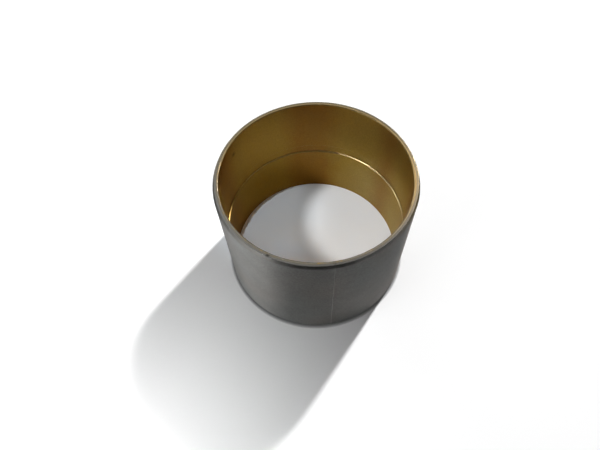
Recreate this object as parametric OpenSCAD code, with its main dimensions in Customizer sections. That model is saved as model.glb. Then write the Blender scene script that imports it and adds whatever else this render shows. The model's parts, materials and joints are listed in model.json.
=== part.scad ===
// Wrapped plain bush: a bronze lining bonded in a steel back, rolled from strip to a ring.
// It stands on its lower end, with its axis on Z and the middle of the lower end at the origin.

/* [Bush] */
// Diameter of the bore that the shaft runs in
bore_d = 80; // [40:0.5:140]
// Length from end face to end face
bush_l = 60; // [40:0.5:120]
// Thickness of the steel back
back_t = 1.75; // [1.2:0.05:4]
// Thickness of the bronze lining
lining_t = 0.75; // [0.65:0.05:2]

/* [End chamfers] */
// Length along the axis of the lead-in chamfer round the outside of each end
lead_in_l = 1.5; // [0.5:0.1:3]
// Angle of the lead-in chamfer from the axis
lead_in_angle = 25; // [15:1:45]
// Leg of the 45 degree chamfer round each mouth of the bore
mouth_chamfer = 0.25; // [0.1:0.05:0.5]

/* [Oil groove] */
// Width of the ring groove where it opens into the bore
groove_w = 5; // [2:0.5:12]
// Depth of the ring groove below the bore's wall
groove_depth = 0.55; // [0.2:0.05:0.6]
// Angle of the groove's flanks from the bore's wall
groove_flank_angle = 60; // [35:5:80]

/* [Butt joint] */
// Angle round the axis at which the two ends of the rolled strip meet
joint_angle = -80; // [-180:5:180]
// Broken corner along each strip edge at the joint, on the outside and in the bore
joint_corner = 0.12; // [0.05:0.01:0.25]

/* [Hidden] */
$fn = 180;

// Radii from the axis outwards
bore_r = bore_d / 2;
groove_r = bore_r + groove_depth;
bond_r = bore_r + lining_t;
outside_r = bond_r + back_t;
end_face_r = outside_r - lead_in_l * tan(lead_in_angle);
mouth_r = bore_r + mouth_chamfer;

// Heights of the groove, which lies at mid-length
groove_mid_z = bush_l / 2;
groove_flank_l = groove_depth / tan(groove_flank_angle);
groove_low_z = groove_mid_z - groove_w / 2;
groove_high_z = groove_mid_z + groove_w / 2;

// Colours of the two metals
steel_grey = "#7c7c78";
bronze_gold = "#8c6f35";

// One end of the steel back's outline is at z = 0 and the other at z = bush_l
module back_outline() {
    polygon([
        [bond_r, 0],
        [end_face_r, 0],
        [outside_r, lead_in_l],
        [outside_r, bush_l - lead_in_l],
        [end_face_r, bush_l],
        [bond_r, bush_l]
    ]);
}

// The lining's outer side lies on the bond, and its inner side is the bore with the ring groove
module lining_outline() {
    polygon([
        [bond_r, 0],
        [bond_r, bush_l],
        [mouth_r, bush_l],
        [bore_r, bush_l - mouth_chamfer],
        [bore_r, groove_high_z],
        [groove_r, groove_high_z - groove_flank_l],
        [groove_r, groove_low_z + groove_flank_l],
        [bore_r, groove_low_z],
        [bore_r, mouth_chamfer],
        [mouth_r, 0]
    ]);
}

// A right-angled V along the joint, with its root at root_r and its mouth one corner leg away,
// towards the axis when side is -1 and away from it when side is 1
module joint_v(root_r, side) {
    reach = 2 * joint_corner;
    rotate(joint_angle)
        translate([0, 0, -joint_corner])
            linear_extrude(bush_l + reach)
                polygon([
                    [root_r, 0],
                    [root_r + side * reach, reach],
                    [root_r + side * reach, -reach]
                ]);
}

module steel_back() {
    color(steel_grey)
        difference() {
            rotate_extrude() back_outline();
            joint_v(outside_r - joint_corner, 1);
        }
}

module bronze_lining() {
    color(bronze_gold)
        difference() {
            rotate_extrude() lining_outline();
            joint_v(bore_r + joint_corner, -1);
        }
}

steel_back();
bronze_lining();
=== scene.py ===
import json
import math
import bmesh
import bpy
from mathutils import Matrix, Vector


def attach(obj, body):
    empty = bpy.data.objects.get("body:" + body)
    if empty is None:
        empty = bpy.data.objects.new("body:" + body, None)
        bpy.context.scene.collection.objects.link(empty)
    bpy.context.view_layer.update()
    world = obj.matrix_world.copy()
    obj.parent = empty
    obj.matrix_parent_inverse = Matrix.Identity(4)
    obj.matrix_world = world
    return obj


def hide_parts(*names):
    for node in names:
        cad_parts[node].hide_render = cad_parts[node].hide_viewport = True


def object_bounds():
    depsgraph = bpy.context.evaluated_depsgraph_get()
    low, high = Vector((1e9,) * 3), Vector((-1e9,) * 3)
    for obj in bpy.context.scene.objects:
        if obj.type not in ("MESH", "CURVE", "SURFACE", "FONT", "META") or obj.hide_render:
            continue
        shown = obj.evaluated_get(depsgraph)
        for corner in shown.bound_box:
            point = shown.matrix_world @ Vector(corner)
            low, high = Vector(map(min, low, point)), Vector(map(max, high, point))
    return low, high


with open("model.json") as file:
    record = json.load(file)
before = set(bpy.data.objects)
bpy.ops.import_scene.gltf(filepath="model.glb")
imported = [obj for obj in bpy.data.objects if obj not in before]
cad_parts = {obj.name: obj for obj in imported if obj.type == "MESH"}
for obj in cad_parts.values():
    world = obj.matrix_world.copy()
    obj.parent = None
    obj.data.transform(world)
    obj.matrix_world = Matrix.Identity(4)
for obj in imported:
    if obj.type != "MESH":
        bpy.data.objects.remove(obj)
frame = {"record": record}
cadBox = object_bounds()
mm = 0.001  # the frame is in metres, the sizes below are in millimetres
mounts = {mount["name"]: mount for mount in frame["record"]["mounts"]}
boreR = mounts["bore"]["dims"]["r_mm"]
outsideR = mounts["outside"]["dims"]["r_mm"]
bushL = (cadBox[1].z - cadBox[0].z) / mm
print("frame loaded, bush", round(2 * outsideR, 2), "by", round(bushL, 2), "mm")


def hexLinear(code):  # sRGB hex to the linear colour that a socket takes
    parts = [int(code[i:i + 2], 16) / 255 for i in (1, 3, 5)]
    return [c / 12.92 if c <= 0.04045 else ((c + 0.055) / 1.055) ** 2.4 for c in parts] + [1.0]


def addNode(tree, kind, settings=None, links=None):
    node = tree.nodes.new(kind)
    for key, value in (settings or {}).items():
        if isinstance(key, str) and hasattr(node, key):
            setattr(node, key, value)
        else:
            node.inputs[key].default_value = value
    for key, source in (links or {}).items():
        tree.links.new(source, node.inputs[key])
    return node


def newMaterial(name):
    material = bpy.data.materials.new(name)
    material.use_nodes = True
    material.node_tree.nodes.clear()
    return material, material.node_tree


def onRing(radius, degrees, z):  # a point on the bush, from millimetres and degrees
    angle = math.radians(degrees)
    return Vector((radius * math.cos(angle), radius * math.sin(angle), z)) * mm


# the strip: both layers share the bond and the joint
strip = {
    "liningT": 0.75,      # bronze on the bore's side
    "jointAngle": -80.0,  # where the strip's two ends meet, degrees from +X
    "jointHalf": 0.12,    # half the width of the joint's broken corners
    "jointDepth": 0.12,
    "columns": 720,       # steps round the axis, half a degree each
    "bondNear": 0.05,     # points this near the bond lie on it
    "weld": 0.002,        # points nearer than this are one
    "endZone": 2.0,       # the end finishes stay within this of each end
    "sharpFrom": 8,       # degrees between two faces from which their edge is drawn sharp
}
bondR = boreR + strip["liningT"]


def rollStrip(outline, breaks, openSide):
    bm = bmesh.new()
    corners = [bm.verts.new((r * mm, 0, z * mm)) for r, z in outline]
    bm.faces.new(corners)
    for size, picks in breaks:  # corners of the section that the tool or the tumbling broke
        bmesh.ops.bevel(bm, geom=[corners[i] for i in picks], affect="VERTICES", offset=size * mm,
                        offset_type="OFFSET", segments=4, profile=0.5, material=-1)
    bmesh.ops.delete(bm, geom=bm.faces[:], context="FACES_ONLY")
    half = strip["jointHalf"] / outsideR
    start = Matrix.Rotation(math.radians(strip["jointAngle"]) + half, 3, "Z")
    bmesh.ops.rotate(bm, verts=bm.verts[:], cent=(0, 0, 0), matrix=start)
    turn = {"cent": (0, 0, 0), "axis": (0, 0, 1)}
    ring = bmesh.ops.spin(bm, geom=bm.verts[:] + bm.edges[:], angle=2 * math.pi - 2 * half,
                          steps=strip["columns"], **turn)
    root = bmesh.ops.spin(bm, geom=ring["geom_last"], angle=half, steps=1, **turn)
    rootVerts = [v for v in root["geom_last"] if isinstance(v, bmesh.types.BMVert)]
    bmesh.ops.spin(bm, geom=root["geom_last"], angle=half, steps=1, **turn)
    depth = strip["jointDepth"] * mm
    for vert in rootVerts:  # the joint's shallow V, along the wall, the chamfers and the end faces
        out = Vector((vert.co.x, vert.co.y, 0))
        if abs(out.length / mm - bondR) > strip["bondNear"]:
            vert.co -= openSide * depth * out.normalized()
        vert.co.z = min(max(vert.co.z, depth), bushL * mm - depth)
    bmesh.ops.remove_doubles(bm, verts=bm.verts[:], dist=strip["weld"] * mm)
    bmesh.ops.recalc_face_normals(bm, faces=bm.faces[:])
    return bm


def nickEdge(bm, spot, width, depth):  # a small knock in the edge at the upper end
    for vert in bm.verts:
        near = (vert.co - spot).length / (width * mm)
        if near < 1:
            vert.co.z -= depth * mm * (1 - near * near)


def finishRing(bm, name, finishes, node):
    # each finish comes with the slope from which it is used near the ends
    bm.normal_update()
    for face in bm.faces:
        face.smooth = True
        if abs(face.calc_center_median().z / mm - bushL / 2) > bushL / 2 - strip["endZone"]:
            face.material_index = sum(abs(face.normal.z) > slope for slope, material in finishes[1:])
    for edge in bm.edges:
        edge.smooth = edge.calc_face_angle(0) < math.radians(strip["sharpFrom"])
    mesh = bpy.data.meshes.new(name)
    bm.to_mesh(mesh)
    bm.free()
    for slope, material in finishes:
        mesh.materials.append(material)
    piece = bpy.data.objects.new(name, mesh)
    bpy.context.scene.collection.objects.link(piece)
    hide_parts(node)
    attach(piece, "root")
    print(name, len(mesh.polygons), "faces")


# steel back: low-carbon strip, rolled and ground outside, its ends turned
back = {
    "leadInL": 1.5,      # outside chamfer along the axis
    "leadInAngle": 25,   # from the axis
    "edgeBreak": 0.05,
    "nick": (-115, 0.8, 0.12),  # a knock in the upper rim: degrees, width, depth
    "cool": "#696e6e",
    "warm": "#746e69",
    "grain": 0.8,        # mottled grain of the ground face, drawn coarser than real so that it shows
    "cloud": 7.0,        # lighter and darker patches
    "stain": 26.0,       # warm and cool areas
    "seamHighlight": 1.3,     # painted highlight: the wall's colour made lighter along the joint over the lower half, for the light its corners catch
    "seamEdge": (0.3, 0.15),  # from the joint's middle: where the painted lighter line starts and is full
    "seamLow": (0.75, 0.3),   # shares of the length between which it fades in, downwards
    "turned": ("#6c6b68", 0.3, "#787878"),  # chamfers: colour, painted darker than the end faces as shade, roughness, and duller at a glancing angle
    "faced": ("#7c7b77", 0.24, "#ffffff"),  # end faces, cut last
    "turnPitch": 0.3,    # tool rings on the turned ends, drawn coarser than real so that they show
    "wear": 1.6,         # lighter and darker spots on the turned ends
    "smearAndLitTint": "#8a7a52",  # bronze drawn over the steel by the facing tool, and the same warm tint as painted light on the lit side
    "smearW": 0.5,       # how far past the bond it was drawn
    "litSideAt": 75,       # degrees, the side painted warm over the whole face: painted light where the warm key falls, on the right and at the back
    "litSideFade": (-22, 8, 0.6),  # along that direction: where it starts and is full, and its share there
}


def paintedLitSide(tree, where, fade):  # painted light: a warm share, from none on the one side to most on the lit side
    start, full, share = fade
    along = addNode(tree, "ShaderNodeVectorMath",
                    {"operation": "DOT_PRODUCT", 1: onRing(1, back["litSideAt"], 0) / mm},
                    {0: where}).outputs["Value"]
    return addNode(tree, "ShaderNodeMapRange", {"From Min": start * mm, "From Max": full * mm, "To Max": share},
                   {"Value": along}).outputs["Result"]


def makeRolledSteel():  # satin grey: soft light and dark sides, a fine mottled grain, a faint warm stain
    material, tree = newMaterial("rolledSteel")
    where = addNode(tree, "ShaderNodeTexCoord").outputs["Object"]
    grain = addNode(tree, "ShaderNodeTexNoise",
                    {"Scale": 1 / (back["grain"] * mm), "Detail": 4.0, "Roughness": 0.65},
                    {"Vector": where}).outputs["Fac"]
    cloud = addNode(tree, "ShaderNodeTexNoise", {"Scale": 1 / (back["cloud"] * mm), "Detail": 2.0},
                    {"Vector": where}).outputs["Fac"]
    stain = addNode(tree, "ShaderNodeTexNoise", {"Scale": 1 / (back["stain"] * mm), "Detail": 1.0},
                    {"Vector": where}).outputs["Fac"]
    tint = addNode(tree, "ShaderNodeMix",
                   {"data_type": "RGBA", 6: hexLinear(back["cool"]), 7: hexLinear(back["warm"])},
                   {0: stain}).outputs[2]
    fine = addNode(tree, "ShaderNodeMapRange",
                   {"From Min": 0.35, "From Max": 0.65, "To Min": 0.82, "To Max": 1.18},
                   {"Value": grain}).outputs["Result"]
    broad = addNode(tree, "ShaderNodeMapRange",
                    {"From Min": 0.3, "From Max": 0.7, "To Min": 0.94, "To Max": 1.06},
                    {"Value": cloud}).outputs["Result"]
    tone = addNode(tree, "ShaderNodeMath", {"operation": "MULTIPLY"}, {0: fine, 1: broad}).outputs[0]
    turned = addNode(tree, "ShaderNodeMapping", {"Rotation": (0, 0, -math.radians(strip["jointAngle"]))},
                     {"Vector": where}).outputs["Vector"]  # X now runs out through the joint
    axes = addNode(tree, "ShaderNodeSeparateXYZ", None, {0: turned}).outputs
    aside = addNode(tree, "ShaderNodeMath", {"operation": "ABSOLUTE"}, {0: axes["Y"]}).outputs[0]
    start, full = back["seamEdge"]
    seamHighlightShare = addNode(tree, "ShaderNodeMapRange", {"From Min": start * mm, "From Max": full * mm},
                   {"Value": aside}).outputs["Result"]
    facing = addNode(tree, "ShaderNodeMath", {"operation": "GREATER_THAN", 1: 0.0}, {0: axes["X"]}).outputs[0]
    start, full = back["seamLow"]
    low = addNode(tree, "ShaderNodeMapRange", {"From Min": start * bushL * mm, "From Max": full * bushL * mm},
                  {"Value": axes["Z"]}).outputs["Result"]
    seamHighlightShare = addNode(tree, "ShaderNodeMath", {"operation": "MULTIPLY"}, {0: seamHighlightShare, 1: facing}).outputs[0]
    seamHighlightShare = addNode(tree, "ShaderNodeMath", {"operation": "MULTIPLY"}, {0: seamHighlightShare, 1: low}).outputs[0]
    # painted highlight along the joint: the wall's colour is lightened there
    bareAndLit = addNode(tree, "ShaderNodeMapRange", {"To Min": 1.0, "To Max": back["seamHighlight"]},
                   {"Value": seamHighlightShare}).outputs["Result"]
    tone = addNode(tree, "ShaderNodeMath", {"operation": "MULTIPLY"}, {0: tone, 1: bareAndLit}).outputs[0]
    colour = addNode(tree, "ShaderNodeMix", {"data_type": "RGBA", "blend_type": "MULTIPLY", 0: 1.0},
                     {6: tint, 7: tone}).outputs[2]
    rough = addNode(tree, "ShaderNodeMapRange",
                    {"From Min": 0.25, "From Max": 0.75, "To Min": 0.5, "To Max": 0.6},
                    {"Value": grain}).outputs["Result"]
    bump = addNode(tree, "ShaderNodeBump", {"Strength": 0.3, "Distance": 0.03 * mm},
                   {"Height": grain}).outputs["Normal"]
    around = addNode(tree, "ShaderNodeTangent", {"direction_type": "RADIAL", "axis": "Z"}).outputs["Tangent"]
    shader = addNode(tree, "ShaderNodeBsdfPrincipled",
                     {"Metallic": 1.0, "Anisotropic": 0.8, "Anisotropic Rotation": 0.25},
                     {"Base Color": colour, "Roughness": rough, "Normal": bump, "Tangent": around}).outputs["BSDF"]
    addNode(tree, "ShaderNodeOutputMaterial", None, {"Surface": shader})
    return material


def makeTurnedSteel(name, code, roughness, glance):
    # smoother than the wall: sharper lights, fine tool rings, gold where bronze was drawn over it, and a warm
    # painted light on the right and at the back
    material, tree = newMaterial(name)
    where = addNode(tree, "ShaderNodeTexCoord").outputs["Object"]
    flat = addNode(tree, "ShaderNodeMapping", {"Scale": (1, 1, 0)}, {"Vector": where}).outputs["Vector"]
    radius = addNode(tree, "ShaderNodeVectorMath", {"operation": "LENGTH"}, {0: flat}).outputs["Value"]
    phase = addNode(tree, "ShaderNodeMath",
                    {"operation": "MULTIPLY", 1: 2 * math.pi / (back["turnPitch"] * mm)},
                    {0: radius}).outputs[0]
    rings = addNode(tree, "ShaderNodeMath", {"operation": "SINE"}, {0: phase}).outputs[0]
    wear = addNode(tree, "ShaderNodeTexNoise", {"Scale": 1 / (back["wear"] * mm), "Detail": 3.0},
                   {"Vector": where}).outputs["Fac"]
    tone = addNode(tree, "ShaderNodeMapRange",
                   {"From Min": 0.25, "From Max": 0.75, "To Min": 0.92, "To Max": 1.08},
                   {"Value": wear}).outputs["Result"]
    steel = addNode(tree, "ShaderNodeMix",
                    {"data_type": "RGBA", "blend_type": "MULTIPLY", 0: 1.0, 6: hexLinear(code)},
                    {7: tone}).outputs[2]
    inner = addNode(tree, "ShaderNodeMapRange",
                    {"From Min": (bondR + back["smearW"]) * mm, "From Max": bondR * mm},
                    {"Value": radius}).outputs["Result"]
    goldShare = addNode(tree, "ShaderNodeMath", {"operation": "MULTIPLY"}, {0: inner, 1: wear}).outputs[0]
    litSide = paintedLitSide(tree, where, back["litSideFade"])
    # painted light: the right and back of the face are tinted warm
    goldShare = addNode(tree, "ShaderNodeMath", {"operation": "MAXIMUM"}, {0: goldShare, 1: litSide}).outputs[0]
    colour = addNode(tree, "ShaderNodeMix", {"data_type": "RGBA", 7: hexLinear(back["smearAndLitTint"])},
                     {0: goldShare, 6: steel}).outputs[2]
    bump = addNode(tree, "ShaderNodeBump", {"Strength": 0.1, "Distance": 0.01 * mm},
                   {"Height": rings}).outputs["Normal"]
    shader = addNode(tree, "ShaderNodeBsdfPrincipled",
                     {"Metallic": 1.0, "Roughness": roughness, "Specular Tint": hexLinear(glance)},
                     {"Base Color": colour, "Normal": bump}).outputs["BSDF"]
    addNode(tree, "ShaderNodeOutputMaterial", None, {"Surface": shader})
    return material


leadIn = back["leadInL"] * math.tan(math.radians(back["leadInAngle"]))
backOutline = [
    (bondR, 0), (outsideR - leadIn, 0), (outsideR, back["leadInL"]),
    (outsideR, bushL - back["leadInL"]), (outsideR - leadIn, bushL), (bondR, bushL),
]
backMesh = rollStrip(backOutline, [(back["edgeBreak"], (1, 2, 3, 4))], 1)
nickAt, nickW, nickDepth = back["nick"]
nickEdge(backMesh, onRing(outsideR - leadIn, nickAt, bushL), nickW, nickDepth)
backSteels = [
    (0.0, makeRolledSteel()),
    # painted shade: the chamfers take a darker copy of the end faces' steel
    (0.15, makeTurnedSteel("turnedSteelPaintedShade", *back["turned"])),
    (0.9, makeTurnedSteel("facedSteel", *back["faced"])),
]
finishRing(backMesh, "steelBack", backSteels, "steel_back")

# bronze lining: bonded to the strip, bored after rolling, with the ring oil groove
lining = {
    "mouthChamfer": 0.25,
    "grooveW": 5.0,
    "grooveDepth": 0.55,
    "grooveFlank": 60,   # from the wall
    "edgeBreak": 0.06,
    "knocks": (-107, 80, 87.3),  # small knocks on the mouth's edge, degrees
    "knock": (0.35, 0.6, 0.1),   # their distance from the wall, width and depth
    "grain": 0.8,                # drawn coarser than real so that it shows
    "olive": "#a68943",
    "brown": "#9a7538",
    # bands along the axis: middle and half width, degrees
    "brownAt": ((-150, 14), (-95, 10), (-50, 18), (-8, 8), (35, 7), (90, 15), (165, 10)),
    "bandFade": 6,               # degrees either side of a band's edge
    "waver": (6, 5),             # the bands' edges waver: over this length, by this much
    "glance": "#f6e3c4",         # oiled bronze stays gold at a glancing angle
    "burnishAndHighlight": "#c4b07e",        # the groove's flanks, pressed smooth by the forming roll, and painted paler as highlight
    # broad soft patches of painted light and painted shade: direction in degrees, drop against height, where each
    # starts and is full in mm, tint
    "paintedLightLowRight": (20, 0.6, 16, 36, (1.12, 1.28, 2.2, 1)),   # painted light: paler and brighter low on the right, where light from the left falls in the bore
    "paintedShadeLowLeft": (150, 1.0, -25, 20, (0.68, 0.54, 0.27, 1)),  # painted shade: darker and browner low on the left and at the back
    "smudge": (155.2, 53.1, 1.7),  # a spot of dirt: degrees, height, radius
    "dull": "#7f7b72",           # steel dust and oil on the faced ends
    "wear": 1.8,                 # spots where the faced ends are bare
    "bareFrom": (0.54, 0.8),     # levels of that pattern at which bare starts and is full
    "litSideGold": (-25, 5, 0.55),  # the painted lit side: where it starts and is full, and its share there
}


def tintPatch(tree, where, tint, patch):  # one of the lining's broad patches of painted light and painted shade, laid over the tint
    turn, drop, start, full, shade = patch
    toward = (math.cos(math.radians(turn)), math.sin(math.radians(turn)), -drop)
    along = addNode(tree, "ShaderNodeVectorMath", {"operation": "DOT_PRODUCT", 1: toward},
                    {0: where}).outputs["Value"]
    share = addNode(tree, "ShaderNodeMapRange", {"From Min": start * mm, "From Max": full * mm},
                    {"Value": along}).outputs["Result"]
    return addNode(tree, "ShaderNodeMix", {"data_type": "RGBA", "blend_type": "MULTIPLY", 7: shade},
                   {0: share, 6: tint}).outputs[2]


def makeBoredBronze():  # dull gold, browner in soft bands along the axis, with a grain and one dark smudge
    material, tree = newMaterial("boredBronze")
    where = addNode(tree, "ShaderNodeTexCoord").outputs["Object"]
    length, reach = lining["waver"]
    waver = addNode(tree, "ShaderNodeTexNoise", {"Scale": 1 / (length * mm), "Detail": 3.0},
                    {"Vector": where}).outputs["Color"]
    pull = addNode(tree, "ShaderNodeVectorMath", {"operation": "MULTIPLY_ADD", 1: (reach * mm, reach * mm, 0)},
                   {0: waver, 2: where}).outputs["Vector"]
    around = addNode(tree, "ShaderNodeTexGradient", {"gradient_type": "RADIAL"}, {"Vector": pull}).outputs["Fac"]
    ramp = addNode(tree, "ShaderNodeValToRGB", None, {"Fac": around})
    fade = lining["bandFade"]
    for middle, half in lining["brownAt"]:
        for offset, share in ((-half - fade, 0), (fade - half, 1), (half - fade, 1), (half + fade, 0)):
            stop = ramp.color_ramp.elements.new((middle + offset) / 360 + 0.5)
            stop.color = (share, share, share, 1)
    ramp.color_ramp.elements[-1].color = (0, 0, 0, 1)
    tint = addNode(tree, "ShaderNodeMix",
                   {"data_type": "RGBA", 6: hexLinear(lining["olive"]), 7: hexLinear(lining["brown"])},
                   {0: ramp.outputs["Color"]}).outputs[2]
    # painted light low on the right of the bore
    tint = tintPatch(tree, pull, tint, lining["paintedLightLowRight"])
    z = addNode(tree, "ShaderNodeSeparateXYZ", None, {0: where}).outputs["Z"]
    z = addNode(tree, "ShaderNodeMath", {"operation": "SUBTRACT", 1: 0.5 * bushL * mm}, {0: z}).outputs[0]
    fromMid = addNode(tree, "ShaderNodeMath", {"operation": "ABSOLUTE"}, {0: z}).outputs[0]
    lip = 0.5 * lining["grooveW"]
    onFlank = addNode(tree, "ShaderNodeMapRange",
                      {"From Min": (lip - 0.4) * mm, "From Max": (lip - 0.3) * mm},
                      {"Value": fromMid}).outputs["Result"]
    pastLip = addNode(tree, "ShaderNodeMapRange", {"From Min": lip * mm, "From Max": (lip + 0.1) * mm},
                      {"Value": fromMid}).outputs["Result"]
    flank = addNode(tree, "ShaderNodeMath", {"operation": "SUBTRACT"}, {0: onFlank, 1: pastLip}).outputs[0]
    # the flanks' paler colour: burnished, and partly painted highlight
    tint = addNode(tree, "ShaderNodeMix", {"data_type": "RGBA", 7: hexLinear(lining["burnishAndHighlight"])},
                   {0: flank, 6: tint}).outputs[2]
    # painted shade low on the left and at the back of the bore
    tint = tintPatch(tree, pull, tint, lining["paintedShadeLowLeft"])
    grain = addNode(tree, "ShaderNodeTexNoise", {"Scale": 1 / (lining["grain"] * mm), "Detail": 3.0},
                    {"Vector": where}).outputs["Fac"]
    tone = addNode(tree, "ShaderNodeMapRange",
                   {"From Min": 0.25, "From Max": 0.75, "To Min": 0.88, "To Max": 1.12},
                   {"Value": grain}).outputs["Result"]
    turn, height, spread = lining["smudge"]
    away = addNode(tree, "ShaderNodeVectorMath", {"operation": "DISTANCE", 1: onRing(boreR, turn, height)},
                   {0: where}).outputs["Value"]
    clean = addNode(tree, "ShaderNodeMapRange",
                    {"From Min": 0.2 * spread * mm, "From Max": spread * mm, "To Min": 0.45},
                    {"Value": away}).outputs["Result"]
    tone = addNode(tree, "ShaderNodeMath", {"operation": "MULTIPLY"}, {0: tone, 1: clean}).outputs[0]
    colour = addNode(tree, "ShaderNodeMix", {"data_type": "RGBA", "blend_type": "MULTIPLY", 0: 1.0},
                     {6: tint, 7: tone}).outputs[2]
    pitting = addNode(tree, "ShaderNodeMapRange", {"To Min": 0.2, "To Max": 0.03},
                      {"Value": flank}).outputs["Result"]  # the flanks are flatter and smoother than the wall
    bump = addNode(tree, "ShaderNodeBump", {"Distance": 0.02 * mm},
                   {"Height": grain, "Strength": pitting}).outputs["Normal"]
    rough = addNode(tree, "ShaderNodeMapRange", {"To Min": 0.42, "To Max": 0.3},
                    {"Value": flank}).outputs["Result"]
    shader = addNode(tree, "ShaderNodeBsdfPrincipled",
                     {"Metallic": 1.0, "Specular Tint": hexLinear(lining["glance"])},
                     {"Base Color": colour, "Roughness": rough, "Normal": bump}).outputs["BSDF"]
    addNode(tree, "ShaderNodeOutputMaterial", None, {"Surface": shader})
    return material


def makeFacedBronze():
    # the ring that shows at the ends: gold on the right and at the back as painted light, greyed on the other
    # side, brighter in places
    material, tree = newMaterial("facedBronze")
    where = addNode(tree, "ShaderNodeTexCoord").outputs["Object"]
    wear = addNode(tree, "ShaderNodeTexNoise", {"Scale": 1 / (lining["wear"] * mm), "Detail": 3.0},
                   {"Vector": where}).outputs["Fac"]
    start, full = lining["bareFrom"]
    bareAndLit = addNode(tree, "ShaderNodeMapRange", {"From Min": start, "From Max": full},
                   {"Value": wear}).outputs["Result"]
    litSide = paintedLitSide(tree, where, lining["litSideGold"])
    # painted light: the ring is gold on the right and at the back
    bareAndLit = addNode(tree, "ShaderNodeMath", {"operation": "MAXIMUM"}, {0: bareAndLit, 1: litSide}).outputs[0]
    colour = addNode(tree, "ShaderNodeMix",
                     {"data_type": "RGBA", 6: hexLinear(lining["dull"]), 7: hexLinear(lining["olive"])},
                     {0: bareAndLit}).outputs[2]
    bump = addNode(tree, "ShaderNodeBump", {"Strength": 0.3, "Distance": 0.02 * mm},
                   {"Height": wear}).outputs["Normal"]
    shader = addNode(tree, "ShaderNodeBsdfPrincipled", {"Metallic": 1.0, "Roughness": 0.3},
                     {"Base Color": colour, "Normal": bump}).outputs["BSDF"]
    addNode(tree, "ShaderNodeOutputMaterial", None, {"Surface": shader})
    return material


mouth = lining["mouthChamfer"]
grooveR = boreR + lining["grooveDepth"]
grooveRun = lining["grooveDepth"] / math.tan(math.radians(lining["grooveFlank"]))
grooveLow = (bushL - lining["grooveW"]) / 2
grooveHigh = (bushL + lining["grooveW"]) / 2
liningOutline = [
    (bondR, 0), (bondR, bushL), (boreR + mouth, bushL), (boreR, bushL - mouth),
    (boreR, grooveHigh), (grooveR, grooveHigh - grooveRun),
    (grooveR, grooveLow + grooveRun), (boreR, grooveLow), (boreR, mouth), (boreR + mouth, 0),
]
liningMesh = rollStrip(liningOutline, [(lining["edgeBreak"], range(2, 10))], -1)
knockOut, knockW, knockDepth = lining["knock"]
for knockAt in lining["knocks"]:
    nickEdge(liningMesh, onRing(boreR + knockOut, knockAt, bushL), knockW, knockDepth)
liningBronzes = [(0.0, makeBoredBronze()), (0.3, makeFacedBronze())]
finishRing(liningMesh, "bronzeLining", liningBronzes, "bronze_lining")

# floor: a plain white sheet that keeps the shadow
floor = {
    "halfWidth": 3000,
    "drop": 0.05,           # below the bush's lower end, so that the two don't share a plane
    "paper": "#f4f4f4",
    "glow": 0.035,          # a little light of its own where it is seen
    "contact": 1.9,         # reach of the shade at the foot of the bush, outside it
    "contactFall": 3.0,     # how quickly that shade falls off
    "contactTone": "#303030",
}


def layFloor():
    material, tree = newMaterial("whitePaper")  # matt and white, and dark only where a shadow lies
    light = addNode(tree, "ShaderNodeLightPath")
    seen = addNode(tree, "ShaderNodeMath", {"operation": "MAXIMUM"},
                   {0: light.outputs["Is Camera Ray"], 1: light.outputs["Is Glossy Ray"]}).outputs[0]
    seen = addNode(tree, "ShaderNodeMath", {"operation": "MAXIMUM"},
                   {0: seen, 1: light.outputs["Is Transmission Ray"]}).outputs[0]
    level = addNode(tree, "ShaderNodeMath", {"operation": "MULTIPLY", 1: floor["glow"]}, {0: seen}).outputs[0]
    near = addNode(tree, "ShaderNodeAmbientOcclusion",
                   {"samples": 8, "Distance": floor["contact"] * mm}).outputs["AO"]
    near = addNode(tree, "ShaderNodeMath", {"operation": "POWER", 1: floor["contactFall"]}, {0: near}).outputs[0]
    where = addNode(tree, "ShaderNodeTexCoord").outputs["Object"]
    reach = addNode(tree, "ShaderNodeVectorMath", {"operation": "LENGTH"}, {0: where}).outputs["Value"]
    inside = addNode(tree, "ShaderNodeMath", {"operation": "LESS_THAN", 1: bondR * mm}, {0: reach}).outputs[0]
    near = addNode(tree, "ShaderNodeMath", {"operation": "MAXIMUM"}, {0: near, 1: inside}).outputs[0]
    colour = addNode(tree, "ShaderNodeMix",
                     {"data_type": "RGBA", 6: hexLinear(floor["contactTone"]), 7: hexLinear(floor["paper"])},
                     {0: near}).outputs[2]
    paper = addNode(tree, "ShaderNodeBsdfDiffuse", None, {"Color": colour}).outputs[0]
    glow = addNode(tree, "ShaderNodeEmission", {"Color": (1, 1, 1, 1)}, {"Strength": level}).outputs[0]
    both = addNode(tree, "ShaderNodeAddShader", None, {0: paper, 1: glow}).outputs[0]
    addNode(tree, "ShaderNodeOutputMaterial", None, {"Surface": both})
    bm = bmesh.new()
    bmesh.ops.create_grid(bm, x_segments=1, y_segments=1, size=floor["halfWidth"] * mm)
    bmesh.ops.translate(bm, verts=bm.verts[:], vec=(0, 0, -floor["drop"] * mm))
    mesh = bpy.data.meshes.new("floor")
    bm.to_mesh(mesh)
    bm.free()
    mesh.materials.append(material)
    sheet = bpy.data.objects.new("floor", mesh)
    bpy.context.scene.collection.objects.link(sheet)


layFloor()
print("floor laid")

# dark cards in front and on the right, outside the picture, which the steel shows as its dark side
cardBlack = "#141414"
cards = {
    "frontCard": {"from": (-112, -150), "to": (95, -150), "height": 120},
    "rightCard": {"from": (95, -230), "to": (260, 60), "height": 120},
}


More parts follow.
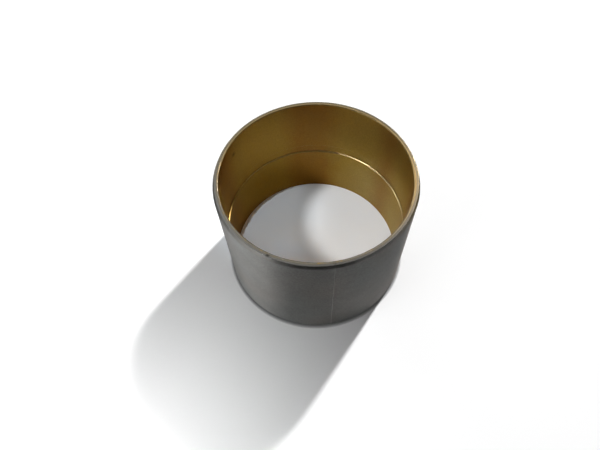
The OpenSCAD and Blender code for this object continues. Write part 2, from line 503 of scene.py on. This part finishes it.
def standCards():
    material, tree = newMaterial("blackCard")  # matt and nearly black, so that the steel facing it looks dark
    shader = addNode(tree, "ShaderNodeBsdfDiffuse", {"Color": hexLinear(cardBlack)}).outputs[0]
    addNode(tree, "ShaderNodeOutputMaterial", None, {"Surface": shader})
    for name, card in cards.items():
        bm = bmesh.new()
        ends = [bm.verts.new((x * mm, y * mm, 0)) for x, y in (card["from"], card["to"])]
        rise = bmesh.ops.extrude_edge_only(bm, edges=[bm.edges.new(ends)])["geom"]
        top = [v for v in rise if isinstance(v, bmesh.types.BMVert)]
        bmesh.ops.translate(bm, verts=top, vec=(0, 0, card["height"] * mm))
        mesh = bpy.data.meshes.new(name)
        bm.to_mesh(mesh)
        bm.free()
        mesh.materials.append(material)
        item = bpy.data.objects.new(name, mesh)
        item.visible_camera = item.visible_shadow = False  # seen in the steel only
        bpy.context.scene.collection.objects.link(item)


standCards()
print("cards stood")

# light: names that start with floor light the floor alone, and names that start with metal the metal alone
# soft boxes: the key from behind on the right, warm on the metal, and boxes on the left, above and behind,
# high on the right, and low behind on the left, where the mouth's edge shows it
softBoxes = {
    "floorKey": {
        "azimuth": 55, "elevation": 38.5, "distance": 2500, "aim": (0, 0, 30),
        "size": (110, 400), "power": 87, "colour": (1, 1, 1),
    },
    "metalKey": {
        "azimuth": 55, "elevation": 40, "distance": 2500, "aim": (0, 0, 30),
        "size": (110, 400), "power": 64, "colour": (1, 0.9, 0.82),
    },
    "leftBox": {
        "azimuth": 209, "elevation": 11, "distance": 600, "aim": (0, 0, 30),
        "size": (480, 180), "power": 2.4, "colour": (1, 1, 1),
    },
    "topBox": {
        "azimuth": 111, "elevation": 54, "distance": 800, "aim": (0, 0, 30),
        "size": (640, 420), "power": 0.75, "colour": (1, 1, 1),
    },
    "metalRight": {
        "azimuth": -18, "elevation": 60, "distance": 800, "aim": (0, 0, 30),
        "size": (800, 400), "power": 0.23, "colour": (1, 1, 1),
    },
    "metalLow": {
        "azimuth": 133, "elevation": 7, "distance": 600, "aim": (0, 0, 60),
        "size": (300, 100), "power": 0.7, "colour": (1, 0.95, 0.9),
    },
}
# snoots into the bore from the left and above, one at the wall's foot, and a soft spot on the shadow's far end
snoots = {
    "metalSnoot": {
        "azimuth": 201, "elevation": 60, "distance": 900, "aim": (1, 0, 60),
        "beam": 4.6, "blend": 0.2, "softness": 60, "power": 11, "colour": (1, 1, 1),
    },
    "metalBack": {
        "azimuth": 157, "elevation": 44, "distance": 900, "aim": (2, 0, 60),
        "beam": 4.4, "blend": 0.3, "softness": 40, "power": 2.3, "colour": (1, 1, 1),
    },
    "metalFoot": {
        "azimuth": -95, "elevation": 20, "distance": 900, "aim": (-4, -42, 5),
        "beam": 2.8, "blend": 0.9, "softness": 10, "power": 4, "colour": (1, 1, 1),
    },
    "floorSnoot": {
        "azimuth": 200, "elevation": 59, "distance": 970, "aim": (33, 18.5, 0),
        "beam": 4.5, "blend": 0.48, "softness": 2, "power": 22.5, "colour": (0.93, 0.97, 1),
    },
    "floorTop": {  # this one and the next are blue against the bronze's glow
        "azimuth": 180, "elevation": 88, "distance": 970, "aim": (-28, 23, 0),
        "beam": 4.8, "blend": 0.9, "softness": 5, "power": 9.4, "colour": (0.75, 0.89, 1),
    },
    "floorFront": {
        "azimuth": 180, "elevation": 88, "distance": 970, "aim": (-12, -16, 0),
        "beam": 3.0, "blend": 0.95, "softness": 5, "power": 4, "colour": (0.08, 0.54, 1),
    },
    "floorSpot": {
        "azimuth": 236, "elevation": 70, "distance": 700, "aim": (-88, -133, 0),
        "beam": 17, "blend": 1.0, "softness": 60, "power": 24, "colour": (1, 1, 1),
    },
}
worldGrey = "#424242"


def hangLamp(data, lamp):
    data.energy = lamp["power"]
    data.color = lamp["colour"]
    az, el = math.radians(lamp["azimuth"]), math.radians(lamp["elevation"])
    away = Vector((math.cos(az) * math.cos(el), math.sin(az) * math.cos(el), math.sin(el)))
    spot = (Vector(lamp["aim"]) + away * lamp["distance"]) * mm
    item = bpy.data.objects.new(data.name, data)
    item.matrix_world = Matrix.Translation(spot) @ away.to_track_quat("Z", "Y").to_matrix().to_4x4()
    item.visible_camera = False
    bpy.context.scene.collection.objects.link(item)
    item.visible_glossy = not data.name.startswith("floor")
    item.visible_diffuse = not data.name.startswith("metal")


for name, lamp in softBoxes.items():
    box = bpy.data.lights.new(name, "AREA")
    box.shape = "RECTANGLE"
    box.size, box.size_y = lamp["size"][0] * mm, lamp["size"][1] * mm
    hangLamp(box, lamp)
for name, lamp in snoots.items():
    snoot = bpy.data.lights.new(name, "SPOT")
    snoot.spot_size = math.radians(lamp["beam"])
    snoot.spot_blend = lamp["blend"]
    snoot.shadow_soft_size = lamp["softness"] * mm
    hangLamp(snoot, lamp)
world = bpy.data.worlds.new("studio")
world.use_nodes = True
world.node_tree.nodes["Background"].inputs["Color"].default_value = hexLinear(worldGrey)
world.node_tree.nodes["Background"].inputs["Strength"].default_value = 1.0
bpy.context.scene.world = world
bpy.context.scene.view_settings.view_transform = "Standard"
print("lamps hung")

# camera: in front and above, looking down into the bore
view = {"place": (0, -121.14, 217.21), "aim": (-8.2, 13.04, 0), "roll": -2.806, "lens": 28.934}
cameraData = bpy.data.cameras.new("camera")
cameraData.sensor_width = 36
cameraData.lens = view["lens"]
cameraData.clip_start = 0.01
camera = bpy.data.objects.new("camera", cameraData)
place, aim = Vector(view["place"]) * mm, Vector(view["aim"]) * mm
roll = Matrix.Rotation(math.radians(view["roll"]), 3, "Z")
look = (aim - place).to_track_quat("-Z", "Y").to_matrix() @ roll
camera.matrix_world = Matrix.Translation(place) @ look.to_4x4()
bpy.context.scene.collection.objects.link(camera)
bpy.context.scene.camera = camera
print("camera placed")
